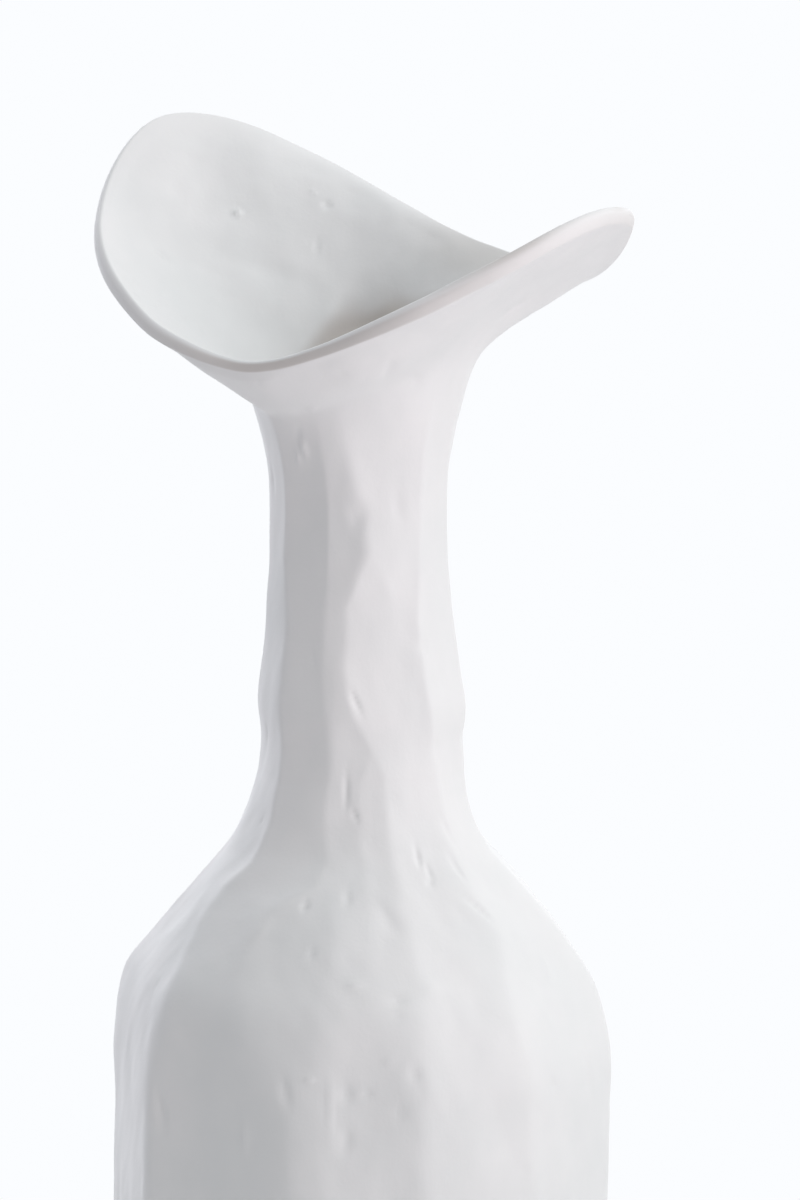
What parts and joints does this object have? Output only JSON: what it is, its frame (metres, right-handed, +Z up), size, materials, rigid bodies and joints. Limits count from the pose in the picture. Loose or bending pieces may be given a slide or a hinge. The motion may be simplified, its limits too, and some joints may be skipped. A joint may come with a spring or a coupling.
{
  "type": "vase",
  "caption": "Hand-built bottle vase: paddled round body, drawn-in shoulder, slim neck and a saddle-shaped mouth with a tall wing and a long wing.",
  "frame": {"origin": "centre of the felt's underside, on the axis of the body, on the surface the vase stands on", "axes": "+Z up along the axis of the body and neck; the tall wing leans to -X +Y, the long wing to +X -Y, and the low side of the mouth faces -Y"},
  "size_m": [0.153, 0.1435, 0.4224],
  "materials": {
    "felt": "pressed wool felt",
    "clay_foot": "matt, bare at the foot",
    "clay_inside": "matt",
    "clay_body": "matt, hand-smoothed",
    "clay_lip": "matt, hand-smoothed"
  },
  "bodies": {
    "root": {"felt_pad": "felt", "foot_slab": "clay_foot", "base_coil": "clay_inside", "body_wall": "clay_body", "shoulder_coil": "clay_inside", "shoulder": "clay_body", "neck_coil": "clay_inside", "neck": "clay_body", "collar": "clay_body", "lip": "clay_lip"}
  },
  "joints": []
}
